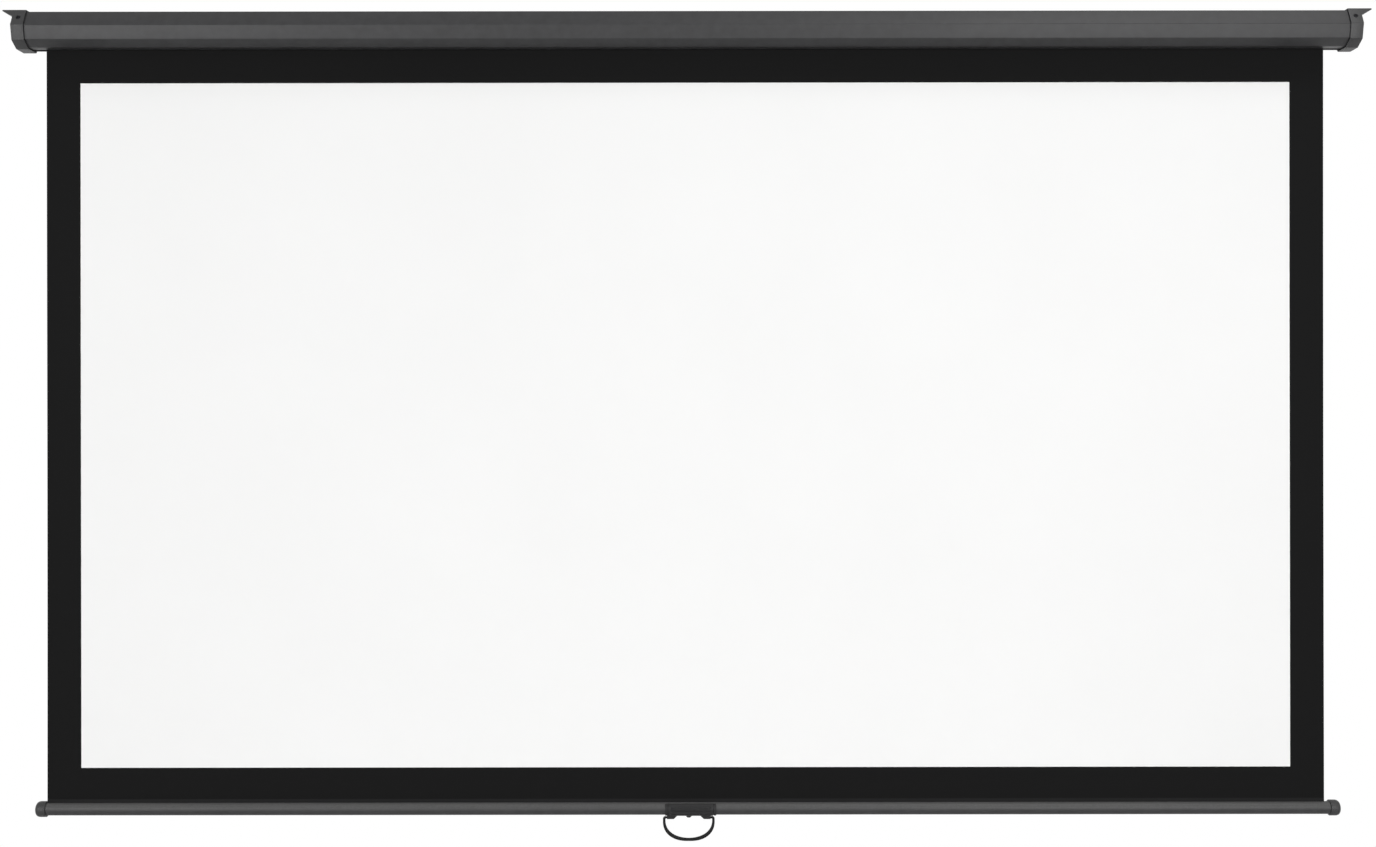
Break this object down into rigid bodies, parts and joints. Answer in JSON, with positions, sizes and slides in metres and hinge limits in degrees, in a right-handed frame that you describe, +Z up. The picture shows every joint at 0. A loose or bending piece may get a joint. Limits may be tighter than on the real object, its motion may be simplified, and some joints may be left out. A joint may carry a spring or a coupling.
{
  "type": "pull down projector screen",
  "caption": "Manual pull down projector screen with an angular case, hanging ears, a locking spring roller, black edged white cloth, a round bottom bar and a swinging pull handle.",
  "frame": {"origin": "midway between the two hanging ears, on their top face and on the line of the ear holes", "axes": "+X along the case to the viewer's right, -Y towards the viewer, +Z up"},
  "size_m": [2.4722, 0.0705, 1.5118],
  "materials": {
    "case_paint": "satin dark grey powder coat on rolled sheet steel",
    "bar_paint": "satin dark grey powder coat on drawn tube",
    "cap_plastic": "fine grained dark grey moulding",
    "handle_plastic": "fine grained charcoal moulding",
    "bail_plastic": "smooth near black moulding",
    "black_cloth": "matt black coated cloth",
    "white_cloth": "matt white projection coating",
    "nylon": "natural moulding",
    "aluminium": "mill finish extrusion",
    "steel": "bright drawn and stamped steel",
    "black_steel": "blackened screw steel"
  },
  "bodies": {
    "case": {"case_tube": "case_paint", "left_end_cap": "cap_plastic", "right_end_cap": "cap_plastic", "cap_screw_left_front": "black_steel", "cap_screw_left_rear": "black_steel", "cap_screw_right_front": "black_steel", "cap_screw_right_rear": "black_steel", "idler_pin": "steel", "spring_arbor": "steel", "spring_anchor": "nylon", "torsion_spring": "steel", "ratchet_wheel": "steel", "screen_sheet": "black_cloth", "white_face": "white_cloth"},
    "roller": {"roller_tube": "aluminium", "cloth_spline": "nylon", "idler_plug": "nylon", "idler_bush": "nylon", "arbor_bearing": "nylon", "pawl_carrier": "nylon", "pawl_pin_upper": "steel", "pawl_pin_lower": "steel", "wound_cloth": "black_cloth"},
    "upper_pawl": {"pawl_upper": "steel"},
    "lower_pawl": {"pawl_lower": "steel"},
    "bar": {"bottom_bar": "bar_paint", "left_bar_cap": "cap_plastic", "right_bar_cap": "cap_plastic", "hem_rod": "nylon", "cloth_hem": "black_cloth", "handle_clip": "handle_plastic"},
    "bail": {"handle_bail": "bail_plastic"}
  },
  "joints": [
    {"name": "screen_pull", "type": "slide", "parent": "case", "child": "bar", "axis": [0, 0, 1], "range_m": [0, 1.371], "deforming": ["screen_sheet", "white_face"]},
    {"name": "roller_spin", "type": "hinge", "parent": "case", "child": "roller", "pos_m": [0, -0.003, -0.03435], "axis": [1, 0, 0], "range_deg": [0, 3960]},
    {"name": "upper_pawl_swing", "type": "hinge", "parent": "roller", "child": "upper_pawl", "pos_m": [1.1788, 0.0035, -0.02309], "axis": [1, 0, 0], "range_deg": [0, 20]},
    {"name": "lower_pawl_swing", "type": "hinge", "parent": "roller", "child": "lower_pawl", "pos_m": [1.1788, -0.0095, -0.04561], "axis": [1, 0, 0], "range_deg": [0, 20]},
    {"name": "bail_swing", "type": "hinge", "parent": "bar", "child": "bail", "pos_m": [0.0015, 0.01562, -1.4687], "axis": [1, 0, 0], "range_deg": [-90, 90]}
  ],
  "couplings": [
    {"joint": "roller_spin", "follows": "screen_pull", "rad_per_m": 50.412}
  ]
}
